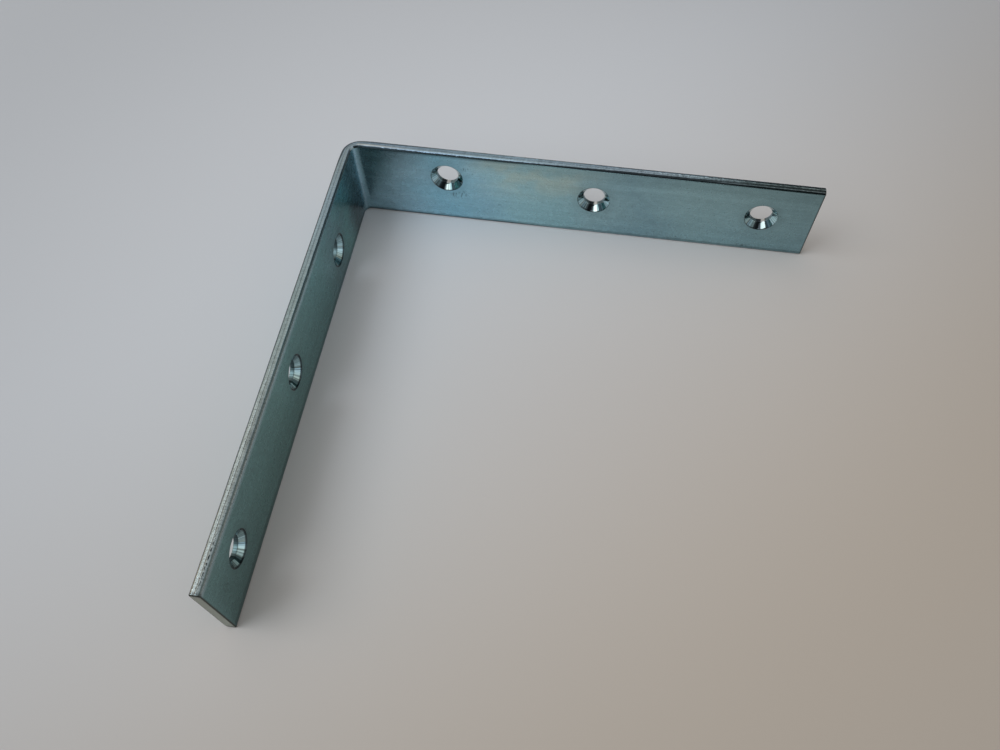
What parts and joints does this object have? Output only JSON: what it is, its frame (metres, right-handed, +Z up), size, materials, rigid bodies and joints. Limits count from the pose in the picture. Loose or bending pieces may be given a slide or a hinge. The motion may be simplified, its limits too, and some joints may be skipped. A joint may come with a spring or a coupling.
{
  "type": "corner brace bracket",
  "caption": "Flat steel strip bent once to a right angle, with countersunk screw holes along each leg, for fixing two boards together in an inside corner.",
  "frame": {"origin": "middle of the bounding box, at the level of the surface that the bracket stands on", "axes": "+Z up the width of the strip; one leg runs along +X with its outer face towards +Y, the other runs along -Y with its outer face towards -X"},
  "size_m": [0.1, 0.1, 0.018],
  "materials": {
    "zinc_plate": "bright zinc plate with blue passivation, satin on the rolled faces"
  },
  "bodies": {
    "root": {"corner_brace": "zinc_plate"}
  },
  "joints": []
}
